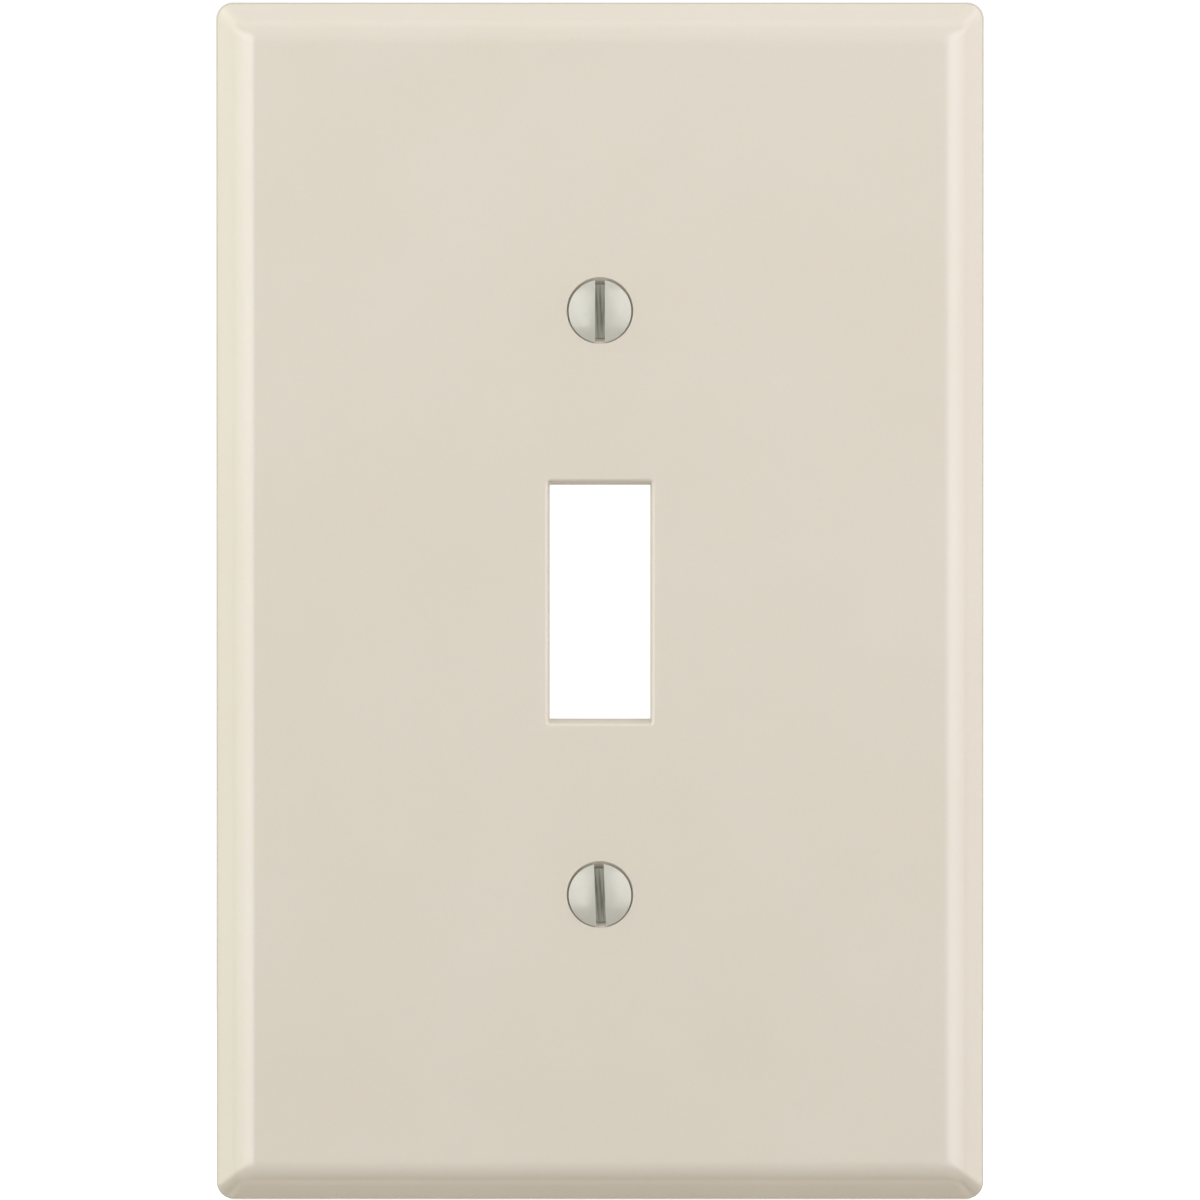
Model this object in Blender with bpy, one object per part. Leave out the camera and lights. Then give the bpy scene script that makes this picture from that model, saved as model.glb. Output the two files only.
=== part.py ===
"""A one-gang toggle-switch wall plate, midway size, with its two slotted oval-head screws.

Metres, +Z up. The plate's back rim lies on the wall, the plane y = 0, and its face looks along -Y.
The origin is the centre of the toggle opening, on the wall plane.
"""

import math

import bmesh
import bpy
from mathutils import Matrix, Vector

MM = 0.001

# Plate outline and section
PLATE_WIDTH = 79.375 * MM
PLATE_HEIGHT = 123.825 * MM
PLATE_DEPTH = 6.5 * MM
FACE_THICKNESS = 2.1 * MM
CORNER_RADIUS = 1.7 * MM
CORNER_FADE = 0.24
BORDER_WIDTH = 4.2 * MM
ROUNDING_WIDTH = 2.6 * MM
SLOPE_ANGLE = math.radians(57)
EDGE_DRAFT = 0.12 * MM
RIM_BREAK = 0.2 * MM
RIM_WIDTH = 2.0 * MM
CAVITY_DRAFT = 0.15 * MM
CAVITY_WALL = 2.3 * MM
CAVITY_INSET = 5.2 * MM

# Toggle opening, through the face and its collar
OPENING_WIDTH = 10.4 * MM
OPENING_HEIGHT = 24.25 * MM
OPENING_SIDE_DRAFT = 0.12 * MM
OPENING_END_DRAFT = 0.36 * MM
OPENING_LIP = 0.37 * MM
OPENING_CORNER = 0.08 * MM
COLLAR_WALL = 1.5 * MM
COLLAR_END = -1.9 * MM
COLLAR_CORNER = 0.8 * MM

# Screw holes and their bosses
SCREW_SPACING = 60.325 * MM
HOLE_MOUTH = 6.86 * MM
HOLE_BORE = 4.1 * MM
COUNTERSINK = math.radians(82)
BOSS_DIAMETER = 10.0 * MM
BOSS_END = -1.6 * MM

# Draft of the collar and the bosses, and stiffening ribs between them
BACK_DRAFT = 0.1 * MM
RIB_THICKNESS = 1.4 * MM
RIB_END = -2.9 * MM

# Screws: 6-32 thread, half an inch long under the head's edge, oval head, straight slot
HEAD_DIAMETER = 6.48 * MM
HEAD_DOME = 0.65 * MM
HEAD_EDGE = 0.1 * MM
SCREW_LENGTH = 12.7 * MM
THREAD_MAJOR = 3.5 * MM
THREAD_MINOR = 2.62 * MM
THREAD_PITCH = 25.4 / 32 * MM
THREAD_CREST = 0.14
THREAD_ROOT = 0.2
TIP_CHAMFER = 0.5 * MM
SLOT_WIDTH = 1.0 * MM
SLOT_DEPTH = 1.3 * MM
SCREW_DROP = 0.08 * MM
LOWER_SLOT_TURN = math.radians(2.2)

# How far a shape reaches into its neighbour or past a face, and the steps in each rounding
EMBED = 0.8 * MM
CORNER_STEPS = 5
ROUNDING_STEPS = 5
LIP_STEPS = 3
OPENING_CORNER_STEPS = 2
ROUND_STEPS = 48
THREAD_STEPS = 16
DOME_STEPS = 6
SHARP_ANGLE = math.radians(25)

FACE_Y = -PLATE_DEPTH
FLOOR_Y = FACE_Y + FACE_THICKNESS


def clear_scene():
    for obj in list(bpy.data.objects):
        bpy.data.objects.remove(obj, do_unlink=True)


def principled(name, colour, roughness, metallic):
    material = bpy.data.materials.new(name)
    material.use_nodes = True
    shader = material.node_tree.nodes["Principled BSDF"]
    shader.inputs["Base Color"].default_value = (*colour, 1.0)
    shader.inputs["Roughness"].default_value = roughness
    shader.inputs["Metallic"].default_value = metallic
    return material


def moulded_thermoset():
    return principled("light_almond_thermoset", (0.7, 0.65, 0.55), 0.22, 0.0)


def painted_steel():
    return principled("painted_steel", (0.55, 0.55, 0.47), 0.25, 0.1)


def new_object(name, mesh_data, material=None):
    mesh = bpy.data.meshes.new(name)
    mesh_data.to_mesh(mesh)
    mesh_data.free()
    if material:
        mesh.materials.append(material)
    obj = bpy.data.objects.new(name, mesh)
    bpy.context.scene.collection.objects.link(obj)
    return obj


def helper_object(name, mesh_data):
    obj = new_object(name, mesh_data)
    obj.hide_render = True
    obj.display_type = "WIRE"
    return obj


def combine(obj, helper, operation):
    modifier = obj.modifiers.new(helper.name, "BOOLEAN")
    modifier.operation = operation
    modifier.solver = "EXACT"
    modifier.object = helper


def rounded_loop(half_x, half_z, radius, y, steps=CORNER_STEPS):
    """Points of a rounded rectangle at depth y, anticlockwise when looked at along +Y."""
    points = []
    for corner in range(4):
        side_x = 1 if corner in (0, 3) else -1
        side_z = 1 if corner < 2 else -1
        for step in range(steps + 1):
            angle = math.pi / 2 * (corner + step / steps)
            x = side_x * (half_x - radius) + radius * math.cos(angle)
            z = side_z * (half_z - radius) + radius * math.sin(angle)
            points.append(Vector((x, y, z)))
    return points


def loft(loops):
    """A closed body through loops of equal length that run from the front of the body to its back."""
    body = bmesh.new()
    rings = [[body.verts.new(point) for point in loop] for loop in loops]
    for ring, following in zip(rings, rings[1:]):
        for index in range(len(ring)):
            after = (index + 1) % len(ring)
            body.faces.new((ring[index], ring[after], following[after], following[index]))
    body.faces.new(reversed(rings[0]))
    body.faces.new(rings[-1])
    bmesh.ops.recalc_face_normals(body, faces=body.faces)
    return body


def turned(profile, steps=ROUND_STEPS):
    """A body of revolution about the Y axis; profile holds (radius, y) from front to back, off the axis."""
    loops = []
    for radius, y in profile:
        turns = [2 * math.pi * step / steps for step in range(steps)]
        loops.append([Vector((radius * math.cos(turn), y, radius * math.sin(turn))) for turn in turns])
    return loft(loops)


def block(low, high):
    body = bmesh.new()
    bmesh.ops.create_cube(body, size=1)
    low, high = Vector(low), Vector(high)
    place = Matrix.Translation((low + high) / 2) @ Matrix.Diagonal((*(high - low), 1))
    bmesh.ops.transform(body, matrix=place, verts=body.verts)
    return body


def plate_loop(inset, y):
    radius = CORNER_RADIUS - CORNER_FADE * min(inset, BORDER_WIDTH)
    return rounded_loop(PLATE_WIDTH / 2 - inset, PLATE_HEIGHT / 2 - inset, radius, y)


def plate_shell():
    """The shell's section, followed from the face over the border and the rim into the cavity."""
    rounding_radius = ROUNDING_WIDTH / math.sin(SLOPE_ANGLE)
    section = []
    for step in range(ROUNDING_STEPS + 1):
        angle = SLOPE_ANGLE * step / ROUNDING_STEPS
        inset = BORDER_WIDTH - rounding_radius * math.sin(angle)
        section.append((inset, FACE_Y + rounding_radius * (1 - math.cos(angle))))
    slope_inset, slope_y = section[-1]
    section.append((EDGE_DRAFT, slope_y + (slope_inset - EDGE_DRAFT) * math.tan(SLOPE_ANGLE)))
    section.append((0.0, -RIM_BREAK))
    section.append((RIM_BREAK, 0.0))
    section.append((RIM_WIDTH, 0.0))
    section.append((RIM_WIDTH + CAVITY_DRAFT, -CAVITY_WALL))
    section.append((CAVITY_INSET, FLOOR_Y))
    return loft([plate_loop(inset, y) for inset, y in section])


def toggle_collar():
    half_x = OPENING_WIDTH / 2 + COLLAR_WALL
    half_z = OPENING_HEIGHT / 2 + COLLAR_WALL
    front = rounded_loop(half_x + BACK_DRAFT, half_z + BACK_DRAFT, COLLAR_CORNER, FLOOR_Y - EMBED)
    back = rounded_loop(half_x, half_z, COLLAR_CORNER, COLLAR_END)
    return loft([front, back])


def toggle_opening():
    """The cutter: a rounded lip, a drafted mouth through the face, and straight sides behind it."""
    half_x = OPENING_WIDTH / 2
    half_z = OPENING_HEIGHT / 2
    loops = []

    def add(grow_x, grow_z, y):
        corner = OPENING_CORNER + min(grow_x, grow_z)
        loops.append(rounded_loop(half_x + grow_x, half_z + grow_z, corner, y, OPENING_CORNER_STEPS))

    add(OPENING_SIDE_DRAFT + OPENING_LIP, OPENING_END_DRAFT + OPENING_LIP, FACE_Y - EMBED)
    for step in range(LIP_STEPS + 1):
        angle = math.pi / 2 * step / LIP_STEPS
        lip = OPENING_LIP * (1 - math.sin(angle))
        add(OPENING_SIDE_DRAFT + lip, OPENING_END_DRAFT + lip, FACE_Y + OPENING_LIP * (1 - math.cos(angle)))
    add(0.0, 0.0, FLOOR_Y)
    add(0.0, 0.0, EMBED)
    return loft(loops)


def screw_boss(centre_z):
    radius = BOSS_DIAMETER / 2
    body = turned([(radius + BACK_DRAFT, FLOOR_Y - EMBED), (radius, BOSS_END)])
    bmesh.ops.translate(body, vec=(0, 0, centre_z), verts=body.verts)
    return body


def screw_hole(centre_z):
    """The cutter: a countersink that narrows from its mouth at the face to the clearance bore."""
    slope = math.tan(COUNTERSINK / 2)
    mouth = HOLE_MOUTH / 2
    bore = HOLE_BORE / 2
    cone_end = FACE_Y + (mouth - bore) / slope
    body = turned([(mouth + EMBED * slope, FACE_Y - EMBED), (bore, cone_end), (bore, EMBED)])
    bmesh.ops.translate(body, vec=(0, 0, centre_z), verts=body.verts)
    return body


def upright_rib(low_z, high_z):
    return block((-RIB_THICKNESS / 2, FLOOR_Y - EMBED, low_z), (RIB_THICKNESS / 2, RIB_END, high_z))


def cross_rib(side, centre_z):
    inner = side * (BOSS_DIAMETER / 2 - EMBED)
    outer = side * (PLATE_WIDTH / 2 - RIM_WIDTH - EMBED)
    low_x, high_x = sorted((inner, outer))
    return block(
        (low_x, FLOOR_Y - EMBED, centre_z - RIB_THICKNESS / 2),
        (high_x, RIB_END, centre_z + RIB_THICKNESS / 2),
    )


def back_ribs():
    """A spine from the top wall through both bosses to the bottom wall, and a rib out from each boss."""
    boss_z = SCREW_SPACING / 2
    boss_reach = BOSS_DIAMETER / 2 - EMBED
    wall_z = PLATE_HEIGHT / 2 - RIM_WIDTH - EMBED
    collar_z = OPENING_HEIGHT / 2 + COLLAR_WALL - EMBED / 2
    ribs = []
    for side in (1, -1):
        for near, far in ((collar_z, boss_z - boss_reach), (boss_z + boss_reach, wall_z)):
            low_z, high_z = sorted((side * near, side * far))
            ribs.append(upright_rib(low_z, high_z))
        ribs.append(cross_rib(-1, side * boss_z))
        ribs.append(cross_rib(1, side * boss_z))
    return ribs


def make_wall_plate():
    plate = new_object("wall_plate", plate_shell(), moulded_thermoset())
    combine(plate, helper_object("toggle_collar", toggle_collar()), "UNION")
    for index, rib in enumerate(back_ribs()):
        combine(plate, helper_object(f"back_rib_{index}", rib), "UNION")
    for index, side in enumerate((1, -1)):
        centre_z = side * SCREW_SPACING / 2
        combine(plate, helper_object(f"screw_boss_{index}", screw_boss(centre_z)), "UNION")
        combine(plate, helper_object(f"screw_hole_{index}", screw_hole(centre_z)), "DIFFERENCE")
    combine(plate, helper_object("toggle_opening", toggle_opening()), "DIFFERENCE")
    return plate


def threaded_rod(start_y, turns):
    """A rod along +Y with a right-hand thread, its first and last turns closed by fans to the axis.

    Each step of the spiral holds one section: root start, root end, crest start, crest end. The crest
    end joins the root start one turn on, so the surface is one unbroken spiral.
    """
    flank = (1 - THREAD_CREST - THREAD_ROOT) / 2
    minor, major = THREAD_MINOR / 2, THREAD_MAJOR / 2
    section = [(0.0, minor), (THREAD_ROOT, minor), (THREAD_ROOT + flank, major), (1 - flank, major)]
    body = bmesh.new()
    columns = []
    for step in range((turns + 1) * THREAD_STEPS + 1):
        angle = 2 * math.pi * step / THREAD_STEPS
        points = section if step <= turns * THREAD_STEPS else section[:1]
        column = []
        for share, radius in points:
            y = start_y + THREAD_PITCH * (step / THREAD_STEPS + share)
            column.append(body.verts.new((radius * math.sin(angle), y, radius * math.cos(angle))))
        columns.append(column)
    rows = [columns[step] + columns[step + THREAD_STEPS][:1] for step in range(turns * THREAD_STEPS + 1)]
    for row, following in zip(rows, rows[1:]):
        for index in range(len(section)):
            body.faces.new((row[index], row[index + 1], following[index + 1], following[index]))
    for first in (0, turns * THREAD_STEPS):
        spiral = [columns[first + step][0] for step in range(THREAD_STEPS + 1)]
        edge = spiral + list(reversed(rows[first][1:-1]))
        centre = body.verts.new((0.0, columns[first + (THREAD_STEPS if first else 0)][0].co.y, 0.0))
        for index, vert in enumerate(edge):
            body.faces.new((centre, vert, edge[(index + 1) % len(edge)]))
    bmesh.ops.recalc_face_normals(body, faces=body.faces)
    return body


def screw_head():
    """The oval head: a dome on a short upright edge, over a cone as steep as the countersink."""
    edge_radius = HEAD_DIAMETER / 2
    dome_radius = (edge_radius**2 + HEAD_DOME**2) / (2 * HEAD_DOME)
    dome_centre = FACE_Y - HEAD_EDGE - HEAD_DOME + dome_radius
    sweep = math.asin(edge_radius / dome_radius)
    profile = []
    for step in range(1, DOME_STEPS + 1):
        angle = sweep * step / DOME_STEPS
        profile.append((dome_radius * math.sin(angle), dome_centre - dome_radius * math.cos(angle)))
    profile.append((edge_radius, FACE_Y))
    neck = THREAD_MAJOR / 2
    profile.append((neck, FACE_Y + (edge_radius - neck) / math.tan(COUNTERSINK / 2)))
    return turned(profile)


def screw_envelope():
    """What the thread is trimmed to: the screw's length, with a chamfered tip."""
    tip = FACE_Y + SCREW_LENGTH
    outside = THREAD_MAJOR / 2 + TIP_CHAMFER
    chamfer = 2 * TIP_CHAMFER
    return turned([(outside, FACE_Y), (outside, tip - chamfer), (outside - chamfer, tip)])


def screw_slot():
    reach = HEAD_DIAMETER
    top = FACE_Y - HEAD_EDGE - HEAD_DOME
    return block((-SLOT_WIDTH / 2, top - EMBED, -reach), (SLOT_WIDTH / 2, top + SLOT_DEPTH, reach))


def make_screw(name, centre_z, turn):
    thread_start = FACE_Y + HEAD_EDGE
    turns = math.ceil(SCREW_LENGTH / THREAD_PITCH)
    screw = new_object(name, threaded_rod(thread_start, turns), painted_steel())
    screw.location = (0.0, 0.0, centre_z)
    screw.rotation_euler = (0.0, turn, 0.0)
    steps = (
        ("envelope", screw_envelope(), "INTERSECT"),
        ("head", screw_head(), "UNION"),
        ("slot", screw_slot(), "DIFFERENCE"),
    )
    for part, body, operation in steps:
        helper = helper_object(f"{name}_{part}", body)
        helper.parent = screw
        combine(screw, helper, operation)
    return screw


def shade(obj):
    obj.data.shade_smooth()
    obj.data.set_sharp_from_angle(angle=SHARP_ANGLE)


def main():
    clear_scene()
    shade(make_wall_plate())
    shade(make_screw("upper_screw", SCREW_SPACING / 2 - SCREW_DROP, 0.0))
    shade(make_screw("lower_screw", -SCREW_SPACING / 2 - SCREW_DROP, -LOWER_SLOT_TURN))


main()
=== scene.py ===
import math

import bmesh
import bpy
from mathutils import Matrix, Vector


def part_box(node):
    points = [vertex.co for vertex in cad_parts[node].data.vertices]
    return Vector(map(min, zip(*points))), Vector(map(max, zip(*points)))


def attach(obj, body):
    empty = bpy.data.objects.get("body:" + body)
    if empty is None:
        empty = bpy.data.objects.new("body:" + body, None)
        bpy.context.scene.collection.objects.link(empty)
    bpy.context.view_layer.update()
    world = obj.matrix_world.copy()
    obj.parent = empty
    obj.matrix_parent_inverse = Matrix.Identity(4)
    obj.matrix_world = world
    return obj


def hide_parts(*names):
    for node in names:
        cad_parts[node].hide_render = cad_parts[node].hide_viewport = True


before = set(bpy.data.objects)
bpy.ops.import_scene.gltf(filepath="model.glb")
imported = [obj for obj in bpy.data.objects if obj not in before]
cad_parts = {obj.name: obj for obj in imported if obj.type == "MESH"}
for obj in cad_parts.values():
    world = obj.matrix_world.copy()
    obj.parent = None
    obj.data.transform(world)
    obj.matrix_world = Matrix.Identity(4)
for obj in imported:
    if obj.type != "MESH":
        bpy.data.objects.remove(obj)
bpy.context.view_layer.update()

mm = 0.001


def linearFrom(hexColour):
    # an sRGB hex colour as the linear colour that sockets take
    channels = [int(hexColour[start:start + 2], 16) / 255 for start in (1, 3, 5)]
    return (*[c / 12.92 if c <= 0.04045 else ((c + 0.055) / 1.055) ** 2.4 for c in channels], 1.0)


def addNode(tree, kind, settings=None, links=None):
    # settings that name a socket set its value, the others are properties of the node itself
    node = tree.nodes.new(kind)
    for name, value in (settings or {}).items():
        if name in node.inputs:
            node.inputs[name].default_value = value
        else:
            setattr(node, name, value)
    for name, source in (links or {}).items():
        tree.links.new(source, node.inputs[name])
    return node


def newMaterial(name):
    material = bpy.data.materials.new(name)
    material.use_nodes = True
    tree = material.node_tree
    tree.nodes.clear()
    output = addNode(tree, "ShaderNodeOutputMaterial")
    return material, tree, output


# Mesh work that the pieces share. Everything is in metres, and the front of a body is towards -Y.

def roundedLoop(halfX, halfZ, radius, y, steps):
    points = []
    for corner in range(4):
        sideX = 1 if corner in (0, 3) else -1
        sideZ = 1 if corner < 2 else -1
        for step in range(steps + 1):
            angle = math.pi / 2 * (corner + step / steps)
            x = sideX * (halfX - radius) + radius * math.cos(angle)
            z = sideZ * (halfZ - radius) + radius * math.sin(angle)
            points.append(Vector((x, y, z)))
    return points


def circle(centreX, centreZ, radius, y, steps):
    points = []
    for step in range(steps):
        angle = 2 * math.pi * step / steps
        points.append(Vector((centreX + radius * math.cos(angle), y, centreZ + radius * math.sin(angle))))
    return points


def quarterTurn(steps):
    # the angles from 0 to a right angle, both ends included
    return [math.pi / 2 * step / steps for step in range(steps + 1)]


def loft(loops, materialIndex=None):
    # a closed body through loops that run from its front to its back
    body = bmesh.new()
    rings = [[body.verts.new(point) for point in loop] for loop in loops]
    for row, (ring, following) in enumerate(zip(rings, rings[1:])):
        for index in range(len(ring)):
            after = (index + 1) % len(ring)
            face = body.faces.new((ring[index], ring[after], following[after], following[index]))
            if materialIndex:
                face.material_index = materialIndex(row)
    body.faces.new(reversed(rings[0]))
    lastFace = body.faces.new(rings[-1])
    if materialIndex:
        lastFace.material_index = materialIndex(len(rings) - 1)
    bmesh.ops.recalc_face_normals(body, faces=body.faces)
    return body


def turned(profile, steps, centre=(0, 0)):
    # a body turned about a line along Y; profile is (radius, y) from front to back
    return loft([circle(*centre, radius, y, steps) for radius, y in profile])


def block(low, high):
    body = bmesh.new()
    bmesh.ops.create_cube(body, size=1)
    low, high = Vector(low), Vector(high)
    place = Matrix.Translation((low + high) / 2) @ Matrix.Diagonal((*(high - low), 1))
    bmesh.ops.transform(body, matrix=place, verts=body.verts)
    return body


def newObject(name, body, materials):
    mesh = bpy.data.meshes.new(name)
    body.to_mesh(mesh)
    body.free()
    for material in materials:
        mesh.materials.append(material)
    obj = bpy.data.objects.new(name, mesh)
    bpy.context.scene.collection.objects.link(obj)
    return obj


def applyModifiers(obj):
    graph = bpy.context.evaluated_depsgraph_get()
    evaluated = obj.evaluated_get(graph)
    made = bpy.data.meshes.new_from_object(evaluated, preserve_all_data_layers=True, depsgraph=graph)
    obj.modifiers.clear()
    old = obj.data
    obj.data = made
    bpy.data.meshes.remove(old)


def combine(obj, tools):
    # tools are (body, materials, operation); each is used once and then removed
    helpers = []
    for index, (body, materials, operation) in enumerate(tools):
        helper = newObject(f"{obj.name}Tool{index}", body, materials)
        helpers.append(helper)
        modifier = obj.modifiers.new(helper.name, "BOOLEAN")
        modifier.operation = operation
        modifier.solver = "EXACT"
        modifier.material_mode = "TRANSFER"
        modifier.object = helper
    applyModifiers(obj)
    for helper in helpers:
        bpy.data.objects.remove(helper, do_unlink=True)


def shadeSmooth(obj, sharpAngle):
    # weighting by face area keeps the flat faces flat beside their small roundings
    obj.data.shade_smooth()
    obj.data.set_sharp_from_angle(angle=sharpAngle)
    weighted = obj.modifiers.new("faceWeightedNormals", "WEIGHTED_NORMAL")
    weighted.mode = "FACE_AREA"
    weighted.weight = 100
    weighted.keep_sharp = True
    applyModifiers(obj)


# Materials. A noise of scale 1 / width has bumps about that width across, and nearly all of its
# values lie in noiseRange.

noiseRange = (0.3, 0.7)


def finishSurface(tree, output, finish, share, wear, grain, settings):
    # share mixes the two colours, wear runs through the roughness range, grain lifts the surface
    colour = addNode(tree, "ShaderNodeMix", {"data_type": "RGBA"}, {"Factor": share})
    colour.inputs[6].default_value = linearFrom(finish["colours"][0])
    colour.inputs[7].default_value = linearFrom(finish["colours"][1])
    gloss = addNode(tree, "ShaderNodeMapRange",
                    {"From Min": noiseRange[0], "From Max": noiseRange[1],
                     "To Min": finish["roughness"][0], "To Max": finish["roughness"][1]},
                    {"Value": wear})
    bump = addNode(tree, "ShaderNodeBump", {"Strength": 1.0, "Distance": finish["grainHeight"]},
                   {"Height": grain})
    shader = addNode(tree, "ShaderNodeBsdfPrincipled", settings,
                     {"Base Color": colour.outputs[2], "Roughness": gloss.outputs["Result"],
                      "Normal": bump.outputs["Normal"]})
    tree.links.new(shader.outputs["BSDF"], output.inputs["Surface"])


urea = {
    "colours": ("#d5cdbd", "#dad3c5"),
    "ior": 1.72,                          # about 1.55 in truth; raised to match the strong sheen
    "translucence": 0.1,
    "scatterDepth": 0.5 * mm,
    "scatterColour": (1.0, 0.8, 0.55),    # red goes deepest, so thin edges look warmer
    "mottleWidth": 22 * mm,
    "speckWidth": 0.28 * mm,              # cellulose filler, finer in truth
    "speckRange": (0.3, 0.75),
    "speckStrength": 0.12,
    "wearWidth": 7 * mm,
}

polishedFace = {
    **urea,
    "roughness": (0.18, 0.24),
    "grainWidth": 1.5 * mm,
    "grainHeight": 0.0035 * mm,
}

grainedBack = {
    **urea,
    "roughness": (0.46, 0.6),
    "grainWidth": 0.35 * mm,
    "grainHeight": 0.012 * mm,
}


def mouldedUrea(name, finish):
    # Compression-moulded urea, light almond: an even cream with faint filler specks and a slow mottle.
    # The polished face shows a slight orange peel in its reflections; the back keeps the mould's grain.
    material, tree, output = newMaterial(name)
    place = addNode(tree, "ShaderNodeTexCoord").outputs["Object"]
    mottle = addNode(tree, "ShaderNodeTexNoise", {"Scale": 1 / finish["mottleWidth"], "Detail": 3.0},
                     {"Vector": place})
    speck = addNode(tree, "ShaderNodeTexNoise", {"Scale": 1 / finish["speckWidth"], "Detail": 1.0},
                    {"Vector": place})
    speckShare = addNode(tree, "ShaderNodeMapRange",
                         {"From Min": finish["speckRange"][0], "From Max": finish["speckRange"][1],
                          "To Min": -finish["speckStrength"], "To Max": finish["speckStrength"]},
                         {"Value": speck.outputs["Fac"]})
    share = addNode(tree, "ShaderNodeMath", {"operation": "ADD", "use_clamp": True},
                    {0: mottle.outputs["Fac"], 1: speckShare.outputs["Result"]})
    wear = addNode(tree, "ShaderNodeTexNoise",
                   {"Scale": 1 / finish["wearWidth"], "Detail": 4.0, "Roughness": 0.6}, {"Vector": place})
    grain = addNode(tree, "ShaderNodeTexNoise", {"Scale": 1 / finish["grainWidth"], "Detail": 2.0},
                    {"Vector": place})
    finishSurface(tree, output, finish, share.outputs[0], wear.outputs["Fac"], grain.outputs["Fac"],
                  {"IOR": finish["ior"], "Subsurface Weight": finish["translucence"],
                   "Subsurface Radius": finish["scatterColour"],
                   "Subsurface Scale": finish["scatterDepth"]})
    return material


# Thin off-white enamel sprayed on steel: the steel's sheen comes through, and it pools a little.
sprayedEnamel = {
    "colours": ("#c4c3b7", "#c0beb2"),
    "patchWidth": 1.6 * mm,
    "streak": 1.0,
    "roughness": (0.2, 0.28),
    "metallic": 0.1,
    "grainWidth": 0.3 * mm,
    "grainHeight": 0.004 * mm,
}

# Bright zinc plated on a rolled thread: cool grey with duller patches.
zincPlate = {
    "colours": ("#c2c1bb", "#a3a29a"),
    "patchWidth": 0.9 * mm,
    "streak": 1.0,
    "roughness": (0.3, 0.45),
    "metallic": 1.0,
    "grainWidth": 0.12 * mm,
    "grainHeight": 0.003 * mm,
}

# The sawn slot: a thin coat of paint over the saw's lines, which run along it. Its colours sit darker than
# the head's enamel, partly for the thin paint over steel and partly as painted shade in the recess.
sawnSlotAndShade = {
    "colours": ("#cacabc", "#969689"),
    "patchWidth": 0.22 * mm,
    "streak": 14,
    "roughness": (0.4, 0.55),
    "metallic": 0.3,
    "grainWidth": 0.15 * mm,
    "grainHeight": 0.004 * mm,
}

patchRange = (0.35, 0.65)  # the noise values between which one colour gives way to the other


def patchyMetal(name, finish):
    # two colours in patches; streak is how much longer the patches are along Z than across
    material, tree, output = newMaterial(name)
    bodyPlace = addNode(tree, "ShaderNodeTexCoord").outputs["Object"]
    place = addNode(tree, "ShaderNodeMapping", {"Scale": (1, 1, 1 / finish["streak"])},
                    {"Vector": bodyPlace}).outputs["Vector"]
    patch = addNode(tree, "ShaderNodeTexNoise", {"Scale": 1 / finish["patchWidth"], "Detail": 3.0},
                    {"Vector": place})
    share = addNode(tree, "ShaderNodeMapRange", {"From Min": patchRange[0], "From Max": patchRange[1]},
                    {"Value": patch.outputs["Fac"]})
    grain = addNode(tree, "ShaderNodeTexNoise", {"Scale": 1 / finish["grainWidth"], "Detail": 2.0},
                    {"Vector": place})
    finishSurface(tree, output, finish, share.outputs["Result"], patch.outputs["Fac"],
                  grain.outputs["Fac"], {"Metallic": finish["metallic"]})
    return material


faceUrea = mouldedUrea("polishedUreaLightAlmond", polishedFace)
backUrea = mouldedUrea("grainedUreaLightAlmond", grainedBack)
enamel = patchyMetal("sprayedEnamelOnSteel", sprayedEnamel)
zinc = patchyMetal("zincPlatedSteel", zincPlate)
# the slot's material is darker than the enamel, partly as painted shade in the slot
slotSteelAndShade = patchyMetal("sawnSlotSteelAndShade", sawnSlotAndShade)
print("materials made")


# The wall plate. Insets are measured in from its outline, and y = 0 is the wall.

plate = {
    "faceThickness": 2.1 * mm,
    "cornerRadius": 1.7 * mm,
    "cornerFade": 0.24,                   # how fast the corner radius shrinks across the border
    "borderWidth": 4.2 * mm,
    "roundingWidth": 2.6 * mm,
    "slopeAngle": math.radians(57),
    "edgeDraft": 0.12 * mm,
    "edgeRunIn": 0.12 * mm,               # the slope turns into the rim over this inset
    "edgeRunOut": 0.06 * mm,
    "rimBreak": 0.2 * mm,
    "rimWidth": 2.0 * mm,
    "cavityDraft": 0.15 * mm,
    "cavityWall": 2.3 * mm,
    "cavityInset": 5.2 * mm,
    "faceBand": 0.6 * mm,                 # flat ring between the rounding and the rest of the face
    "floorBand": 0.4 * mm,                # the same on the floor of the hollow
    "openingWidth": 10.4 * mm,
    "openingHeight": 24.25 * mm,
    "openingSideDraft": 0.12 * mm,
    "openingEndDraft": 0.36 * mm,
    "openingLip": 0.37 * mm,
    "openingCorner": 0.08 * mm,
    "collarWall": 1.5 * mm,
    "collarCorner": 0.8 * mm,
    "collarEnd": -1.9 * mm,
    "screwSpacing": 60.325 * mm,
    "holeMouth": 6.86 * mm,
    "holeBore": 4.1 * mm,
    "mouthRound": 0.05 * mm,
    "mouthLand": 0.07 * mm,
    "countersink": math.radians(82),
    "bossDiameter": 10.0 * mm,
    "bossEnd": -1.6 * mm,
    "ribThickness": 1.4 * mm,
    "ribCorner": 0.3 * mm,
    "ribEnd": -2.9 * mm,
    "draft": 0.1 * mm,
    "edgeRound": 0.15 * mm,
    "ejectorDiameter": 5.0 * mm,
    "ejectorDepth": 0.12 * mm,
    "ejectorReach": (0.62, 0.78),         # share of the plate's half width and half height
    "embed": 0.8 * mm,                    # how far one body is sunk into the next to join or cut it
    "sharpAngle": math.radians(30),
    "cornerSteps": 12,
    "roundingSteps": 24,
    "rimSteps": 3,
    "openingSteps": 6,
    "lipSteps": 8,
    "mouthSteps": 4,
    "ribSteps": 2,
    "edgeSteps": 3,
    "ejectorSteps": 48,
    "roundSteps": 96,
}

plateLow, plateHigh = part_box("wall_plate")
faceY = plateLow.y
floorY = faceY + plate["faceThickness"]
halfWidth = (plateHigh.x - plateLow.x) / 2
halfHeight = (plateHigh.z - plateLow.z) / 2


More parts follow.
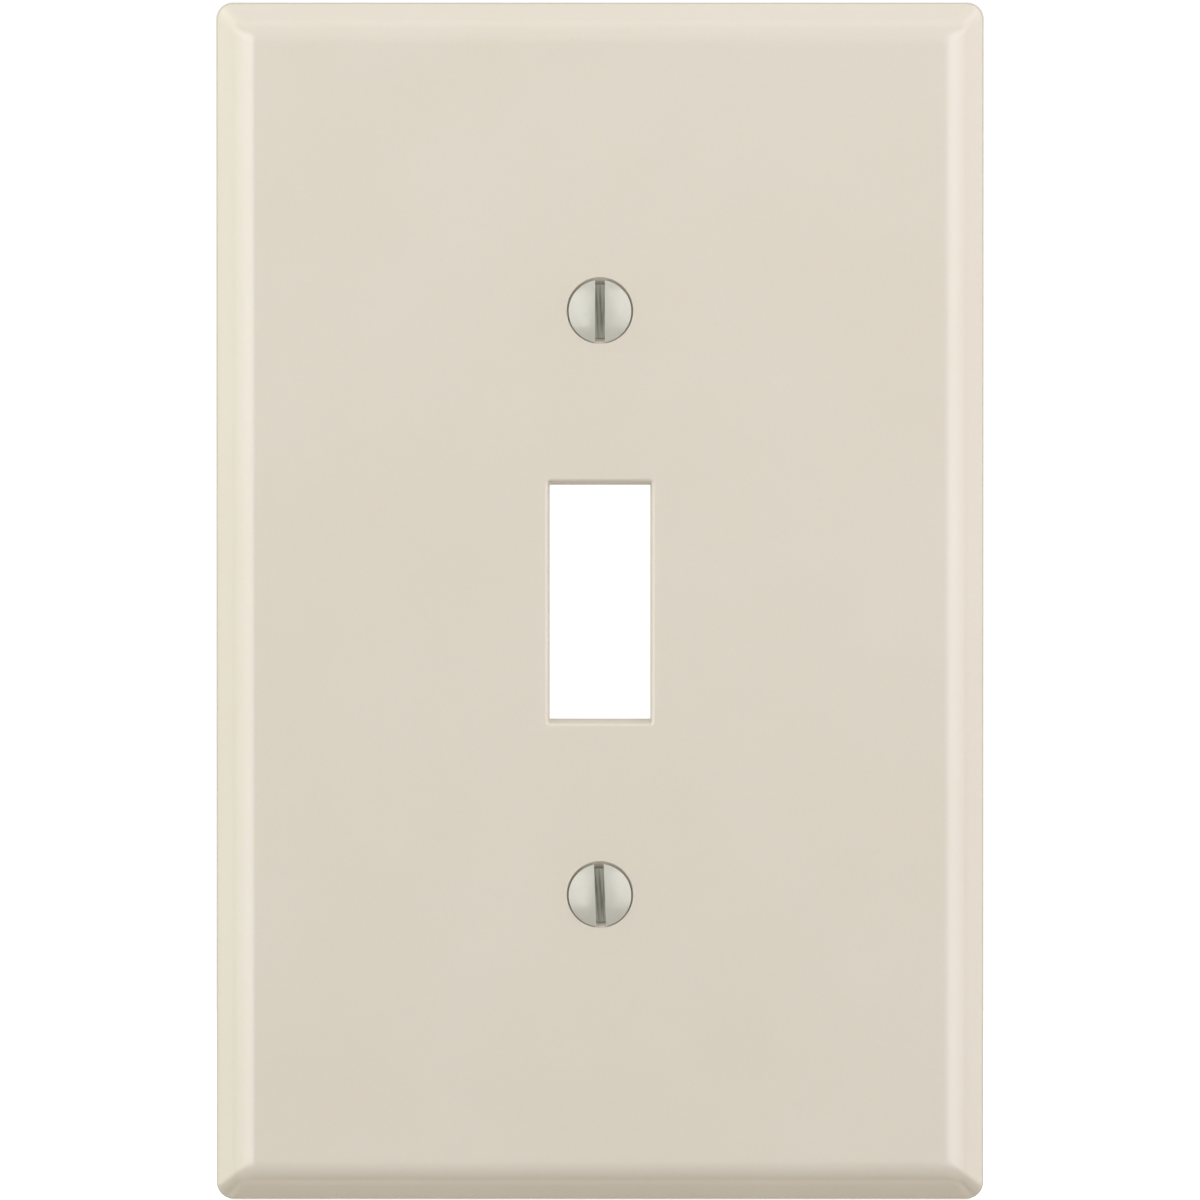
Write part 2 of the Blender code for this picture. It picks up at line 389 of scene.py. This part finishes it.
def plateLoop(inset, y):
    radius = plate["cornerRadius"] - plate["cornerFade"] * min(inset, plate["borderWidth"])
    return roundedLoop(halfWidth - inset, halfHeight - inset, radius, y, plate["cornerSteps"])


def plateShell():
    # from a ring on the flat face, over the border, round the rim and into the hollow back
    border, slope, rimBreak = plate["borderWidth"], plate["slopeAngle"], plate["rimBreak"]
    roundingRadius = plate["roundingWidth"] / math.sin(slope)
    section = [(border + plate["faceBand"], faceY)]
    for step in range(plate["roundingSteps"] + 1):
        angle = slope * step / plate["roundingSteps"]
        inset = border - roundingRadius * math.sin(angle)
        section.append((inset, faceY + roundingRadius * (1 - math.cos(angle))))
    slopeInset, slopeY = section[-1]
    edgeY = slopeY + (slopeInset - plate["edgeDraft"]) * math.tan(slope)
    section.append((plate["edgeDraft"] + plate["edgeRunIn"], edgeY - plate["edgeRunIn"] * math.tan(slope)))
    section.append((plate["edgeDraft"], edgeY + plate["edgeRunOut"]))
    for angle in quarterTurn(plate["rimSteps"]):
        section.append((rimBreak * (1 - math.cos(angle)), -rimBreak * (1 - math.sin(angle))))
    rimEnd = len(section)
    section.append((plate["rimWidth"] - plate["edgeRound"], 0.0))
    section.append((plate["rimWidth"], -plate["edgeRound"]))
    section.append((plate["rimWidth"] + plate["cavityDraft"], -plate["cavityWall"]))
    section.append((plate["cavityInset"], floorY))
    section.append((plate["cavityInset"] + plate["floorBand"], floorY))
    return loft([plateLoop(inset, y) for inset, y in section], lambda row: int(row >= rimEnd))


def raisedBody(outline, endY):
    # a boss, wall or rib: drafted sides that end in a small rounded edge; outline(grow, y) gives a loop
    edge = plate["edgeRound"]
    loops = [outline(plate["draft"], floorY - plate["embed"]), outline(0.0, endY - edge)]
    for angle in quarterTurn(plate["edgeSteps"])[1:]:
        loops.append(outline(-edge * (1 - math.cos(angle)), endY - edge * (1 - math.sin(angle))))
    return loft(loops)


def toggleCollar():
    halfX = plate["openingWidth"] / 2 + plate["collarWall"]
    halfZ = plate["openingHeight"] / 2 + plate["collarWall"]

    def outline(grow, y):
        corner = plate["collarCorner"] + grow
        return roundedLoop(halfX + grow, halfZ + grow, corner, y, plate["openingSteps"])

    return raisedBody(outline, plate["collarEnd"])


def toggleOpening():
    halfX, halfZ = plate["openingWidth"] / 2, plate["openingHeight"] / 2
    side, end, lip = plate["openingSideDraft"], plate["openingEndDraft"], plate["openingLip"]

    def outline(growX, growZ, y):
        corner = plate["openingCorner"] + min(growX, growZ)
        return roundedLoop(halfX + growX, halfZ + growZ, corner, y, plate["openingSteps"])

    loops = [outline(side + lip, end + lip, faceY - plate["embed"])]
    for angle in quarterTurn(plate["lipSteps"]):
        grow = lip * (1 - math.sin(angle))
        loops.append(outline(side + grow, end + grow, faceY + lip * (1 - math.cos(angle))))
    loops += [outline(0.0, 0.0, floorY), outline(0.0, 0.0, plate["embed"])]
    return loft(loops)


def screwBoss(centreZ):
    def outline(grow, y):
        return circle(0, centreZ, plate["bossDiameter"] / 2 + grow, y, plate["roundSteps"])

    return raisedBody(outline, plate["bossEnd"])


def screwHole(centreZ):
    # a countersunk hole: a slightly rounded mouth, a short upright land, the cone and the bore
    mouth, bore, rounding = plate["holeMouth"] / 2, plate["holeBore"] / 2, plate["mouthRound"]
    profile = [(mouth + rounding, faceY - plate["embed"])]
    for angle in quarterTurn(plate["mouthSteps"]):
        profile.append((mouth + rounding * (1 - math.sin(angle)), faceY + rounding * (1 - math.cos(angle))))
    coneStart = faceY + rounding + plate["mouthLand"]
    coneEnd = coneStart + (mouth - bore) / math.tan(plate["countersink"] / 2)
    profile += [(mouth, coneStart), (bore, coneEnd), (bore, plate["embed"])]
    return turned(profile, plate["roundSteps"], (0.0, centreZ))


def rib(low, high):
    # a low wall between two corners in X and Z
    halfX, halfZ = (high[0] - low[0]) / 2, (high[1] - low[1]) / 2
    centreX, centreZ = (high[0] + low[0]) / 2, (high[1] + low[1]) / 2

    def outline(grow, y):
        return roundedLoop(halfX + grow, halfZ + grow, plate["ribCorner"], y, plate["ribSteps"])

    body = raisedBody(outline, plate["ribEnd"])
    bmesh.ops.translate(body, vec=(centreX, 0, centreZ), verts=body.verts)
    return body


def backRibs():
    half = plate["ribThickness"] / 2
    bossZ = plate["screwSpacing"] / 2
    bossReach = plate["bossDiameter"] / 2 - plate["embed"]
    wallX = halfWidth - plate["rimWidth"] - plate["embed"]
    wallZ = halfHeight - plate["rimWidth"] - plate["embed"]
    collarZ = plate["openingHeight"] / 2 + plate["collarWall"] - plate["embed"] / 2
    ribs = []
    for side in (1, -1):
        for near, far in ((collarZ, bossZ - bossReach), (bossZ + bossReach, wallZ)):
            lowZ, highZ = sorted((side * near, side * far))
            ribs.append(rib((-half, lowZ), (half, highZ)))
        ribs.append(rib((bossReach, side * bossZ - half), (wallX, side * bossZ + half)))
        ribs.append(rib((-wallX, side * bossZ - half), (-bossReach, side * bossZ + half)))
    return ribs


def ejectorMarks():
    # shallow round dents that the ejector pins leave on the hollow side
    radius, depth = plate["ejectorDiameter"] / 2, plate["ejectorDepth"]
    reachX, reachZ = plate["ejectorReach"]
    profile = [(radius - depth, floorY - depth), (radius, floorY), (radius, floorY + plate["embed"])]
    marks = []
    for x in (-reachX * halfWidth, reachX * halfWidth):
        for z in (-reachZ * halfHeight, 0.0, reachZ * halfHeight):
            marks.append(turned(profile, plate["ejectorSteps"], (x, z)))
    return marks


def makeWallPlate():
    piece = newObject("wallPlate", plateShell(), [faceUrea, backUrea])
    tools = [(toggleCollar(), [backUrea], "UNION")]
    tools += [(body, [backUrea], "UNION") for body in backRibs()]
    for side in (1, -1):
        centreZ = side * plate["screwSpacing"] / 2
        tools.append((screwBoss(centreZ), [backUrea], "UNION"))
        tools.append((screwHole(centreZ), [faceUrea], "DIFFERENCE"))
    tools.append((toggleOpening(), [faceUrea], "DIFFERENCE"))
    tools += [(body, [backUrea], "DIFFERENCE") for body in ejectorMarks()]
    combine(piece, tools)
    shadeSmooth(piece, plate["sharpAngle"])
    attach(piece, "plate")
    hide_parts("wall_plate")
    return piece


wallPlate = makeWallPlate()
print("wall plate made:", len(wallPlate.data.polygons), "faces")


# The two screws. Both come from one set of values and differ in where their slot stands.

screw = {
    "headDiameter": 6.48 * mm,
    "headDome": 0.65 * mm,
    "headEdge": 0.1 * mm,
    "length": 12.7 * mm,
    "threadMajor": 3.5 * mm,
    "threadMinor": 2.62 * mm,
    "threadPitch": 25.4 / 32 * mm,
    "threadCrest": 0.14,                  # crest and root flats as shares of the pitch
    "threadRoot": 0.2,
    "tipChamfer": 0.5 * mm,
    "slotWidth": 1.0 * mm,
    "slotDepth": 1.3 * mm,
    "slotOver": 1.0 * mm,                 # how far the saw's block starts in front of the head
    "slotEdge": 0.05 * mm,
    "slotEdgeAngle": math.radians(50),
    "lowerSlotTurn": math.radians(2.2),
    "sharpAngle": math.radians(35),
    "threadSteps": 40,
    "roundSteps": 128,
    "domeSteps": 20,
    "slotEdgeSteps": 3,
}


def threadedRod(startY, turns):
    # one unbroken right-hand spiral; both ends are closed by fans to the axis
    root, flank = screw["threadRoot"], (1 - screw["threadCrest"] - screw["threadRoot"]) / 2
    minor, major = screw["threadMinor"] / 2, screw["threadMajor"] / 2
    section = [(0.0, minor), (root, minor), (root + flank, major), (1 - flank, major)]
    perTurn = screw["threadSteps"]
    lastStep = turns * perTurn
    body = bmesh.new()
    columns = []
    for step in range(lastStep + perTurn + 1):
        angle = 2 * math.pi * step / perTurn
        column = []
        for share, radius in section if step <= lastStep else section[:1]:
            y = startY + screw["threadPitch"] * (step / perTurn + share)
            column.append(body.verts.new((radius * math.sin(angle), y, radius * math.cos(angle))))
        columns.append(column)
    rows = [columns[step] + columns[step + perTurn][:1] for step in range(lastStep + 1)]
    for row, following in zip(rows, rows[1:]):
        for index in range(len(section)):
            body.faces.new((row[index], row[index + 1], following[index + 1], following[index]))
    for first, middle in ((0, 0), (lastStep, lastStep + perTurn)):
        edge = [columns[first + step][0] for step in range(perTurn + 1)] + rows[first][-2:0:-1]
        centre = body.verts.new((0.0, columns[middle][0].co.y, 0.0))
        for index, vert in enumerate(edge):
            body.faces.new((centre, vert, edge[(index + 1) % len(edge)]))
    bmesh.ops.recalc_face_normals(body, faces=body.faces)
    return body


def screwHead():
    # a domed top, a short edge and the cone that sits in the countersink
    edgeRadius, dome = screw["headDiameter"] / 2, screw["headDome"]
    domeRadius = (edgeRadius ** 2 + dome ** 2) / (2 * dome)
    domeCentre = faceY - screw["headEdge"] - dome + domeRadius
    sweep = math.asin(edgeRadius / domeRadius)
    profile = []
    for step in range(1, screw["domeSteps"] + 1):
        angle = sweep * step / screw["domeSteps"]
        profile.append((domeRadius * math.sin(angle), domeCentre - domeRadius * math.cos(angle)))
    profile.append((edgeRadius, faceY))
    neck = screw["threadMajor"] / 2
    profile.append((neck, faceY + (edgeRadius - neck) / math.tan(plate["countersink"] / 2)))
    return turned(profile, screw["roundSteps"])


def screwEnvelope():
    # what the rod is trimmed to: its length, and a chamfer that tapers the tip
    tip = faceY + screw["length"]
    outside = screw["threadMajor"] / 2 + screw["tipChamfer"]
    chamfer = 2 * screw["tipChamfer"]
    profile = [(outside, faceY), (outside, tip - chamfer), (outside - chamfer, tip)]
    return turned(profile, screw["roundSteps"])


def screwSlot():
    reach = screw["headDiameter"]
    top = faceY - screw["headEdge"] - screw["headDome"]
    half = screw["slotWidth"] / 2
    return block((-half, top - screw["slotOver"], -reach), (half, top + screw["slotDepth"], reach))


def roundSlotEdges(head):
    bevel = head.modifiers.new("slotEdges", "BEVEL")
    bevel.width = screw["slotEdge"]
    bevel.segments = screw["slotEdgeSteps"]
    bevel.limit_method = "ANGLE"
    bevel.angle_limit = screw["slotEdgeAngle"]
    applyModifiers(head)


def threadedShank():
    turns = math.ceil(screw["length"] / screw["threadPitch"])
    rod = newObject("rodBlank", threadedRod(faceY + screw["headEdge"], turns), [zinc])
    combine(rod, [(screwEnvelope(), [zinc], "INTERSECT"), (screwSlot(), [slotSteelAndShade], "DIFFERENCE")])
    body = bmesh.new()
    body.from_mesh(rod.data)
    bpy.data.objects.remove(rod, do_unlink=True)
    return body


def makeScrew(node, slotTurn):
    low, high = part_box(node)
    head = newObject(node + "Piece", screwHead(), [enamel])
    combine(head, [(screwSlot(), [slotSteelAndShade], "DIFFERENCE")])
    roundSlotEdges(head)
    combine(head, [(threadedShank(), [zinc, slotSteelAndShade], "UNION")])
    shadeSmooth(head, screw["sharpAngle"])
    centre = (low + high) / 2
    head.location = (centre.x, 0.0, centre.z)
    head.rotation_euler = (0.0, slotTurn, 0.0)
    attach(head, node)
    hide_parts(node)
    return head


upperScrew = makeScrew("upper_screw", 0.0)
makeScrew("lower_screw", -screw["lowerSlotTurn"])
print("screws made:", len(upperScrew.data.polygons), "faces each")


# Floor, light and camera.

studio = {
    "floorSize": 0.9,
    "floorGlow": 0.55,
    "floorColour": "#f7f7f5",
    "floorRoughness": 0.9,
    "roomLight": 0.08,
    "backdropLight": 0.65,
    "backdropFade": (0.35, 0.8),          # how much a direction points to +Y where the backdrop
                                          # starts, and where it is full
    "backdropWhite": 1.05,
    "tentColour": "#fff8ec",
    "unseenInGloss": ("topFront",),
    "lens": 800,
    "sensorWidth": 36,
    "frameWidth": 124.2 * mm,
    "cameraRise": math.radians(1.6),
    "aimUp": 0.09 * mm,
}


def makeFloor():
    # matte white paper: no sheen, and bright enough of itself to melt into the backdrop
    body = bmesh.new()
    half = studio["floorSize"] / 2
    corners = ((-half, -half), (half, -half), (half, half), (-half, half))
    body.faces.new([body.verts.new((x, y, plateLow.z)) for x, y in corners])
    material, tree, output = newMaterial("matteStudioPaper")
    shader = addNode(tree, "ShaderNodeBsdfPrincipled",
                     {"Base Color": linearFrom(studio["floorColour"]),
                      "Roughness": studio["floorRoughness"],
                      "Emission Color": (1, 1, 1, 1), "Emission Strength": studio["floorGlow"]})
    tree.links.new(shader.outputs["BSDF"], output.inputs["Surface"])
    floor = newObject("studioFloor", body, [material])
    floor.visible_diffuse = False
    floor.visible_glossy = False
    floor.visible_shadow = False


def makeWorld():
    # pure white to the camera; the object gets a dim room in front and a bright backdrop behind
    world = bpy.data.worlds.new("whiteBackdrop")
    bpy.context.scene.world = world
    world.use_nodes = True
    tree = world.node_tree
    tree.nodes.clear()
    direction = addNode(tree, "ShaderNodeTexCoord").outputs["Generated"]
    depth = addNode(tree, "ShaderNodeSeparateXYZ", links={0: direction}).outputs["Y"]
    fade = studio["backdropFade"]
    strength = addNode(tree, "ShaderNodeMapRange",
                       {"From Min": fade[0], "From Max": fade[1],
                        "To Min": studio["roomLight"], "To Max": studio["backdropLight"]},
                       {"Value": depth})
    tent = addNode(tree, "ShaderNodeBackground", {"Color": linearFrom(studio["tentColour"])},
                   {"Strength": strength.outputs["Result"]})
    white = addNode(tree, "ShaderNodeBackground",
                    {"Color": (1, 1, 1, 1), "Strength": studio["backdropWhite"]})
    toCamera = addNode(tree, "ShaderNodeLightPath").outputs["Is Camera Ray"]
    mix = addNode(tree, "ShaderNodeMixShader", links={0: toCamera, 1: tent.outputs[0], 2: white.outputs[0]})
    addNode(tree, "ShaderNodeOutputWorld", links={"Surface": mix.outputs[0]})


# Soft boxes round the plate: azimuth and elevation in degrees, distance, width and height in metres,
# radiance and colour. Azimuth 0 is in front of the plate and positive to the right, an elevation past
# 90 is over the top and behind, and radiance is what the panel shows.
softboxes = {
    "leftFront": (-34.5, 6, 0.6, 0.45, 0.6, 2.17, "#fffeff"),
    "leftSide": (-70.5, 6, 0.6, 0.345, 0.6, 1.7, "#fdfff3"),
    "leftRear": (-106.5, 13, 0.6, 0.425, 0.8, 1.1, "#fdfff3"),
    "rightNear": (15, 6, 0.6, 0.16, 0.6, 0.75, "#fffeff"),
    "rightFront": (38.5, 6, 0.6, 0.36, 0.6, 2.16, "#fffdff"),
    "rightSide": (70.5, 6, 0.6, 0.345, 0.6, 1.74, "#fffbfd"),
    "rightRear": (106.5, 13, 0.6, 0.425, 0.8, 1.08, "#fffbfb"),
    "topFront": (0, 52, 0.6, 1.1, 0.42, 1.2, "#ecf2ff"),
    "topRear": (0, 106.5, 0.6, 1.3, 0.8, 0.7, "#fffaf3"),
    "lowFront": (0, -56, 0.6, 0.9, 0.48, 0.14, "#fffaf0"),
    "lowRear": (0, -101, 1.2, 1.2, 0.75, 1.3, "#fff2df"),
}


def addSoftbox(name, azimuth, elevation, distance, width, height, radiance, colour):
    centre = Vector((0, faceY, 0))
    turn, lift = math.radians(azimuth), math.radians(elevation)
    outward = Vector((math.sin(turn) * math.cos(lift), -math.cos(turn) * math.cos(lift), math.sin(lift)))
    light = bpy.data.lights.new(name, "AREA")
    light.shape = "RECTANGLE"
    light.size = width
    light.size_y = height
    light.energy = radiance * math.pi * width * height
    light.color = linearFrom(colour)[:3]
    obj = bpy.data.objects.new(name, light)
    obj.location = centre + outward * distance
    obj.rotation_euler = outward.to_track_quat("Z", "Y").to_euler()
    obj.visible_camera = False
    obj.visible_glossy = name not in studio["unseenInGloss"]
    bpy.context.scene.collection.objects.link(obj)


def makeCamera():
    data = bpy.data.cameras.new("frontCamera")
    data.lens = studio["lens"]
    data.sensor_width = studio["sensorWidth"]
    distance = studio["frameWidth"] * data.lens / data.sensor_width
    data.clip_start = 0.1
    data.clip_end = 20
    camera = bpy.data.objects.new("frontCamera", data)
    rise = studio["cameraRise"]
    aim = Vector((0, plateHigh.y, (plateLow.z + plateHigh.z) / 2 + studio["aimUp"]))
    camera.location = aim + distance * Vector((0, -math.cos(rise), math.sin(rise)))
    camera.rotation_euler = (math.radians(90) - rise, 0, 0)
    bpy.context.scene.collection.objects.link(camera)
    bpy.context.scene.camera = camera


makeFloor()
makeWorld()
for name, values in softboxes.items():
    addSoftbox(name, *values)
makeCamera()
bpy.context.scene.view_settings.view_transform = "Standard"
print("studio made")
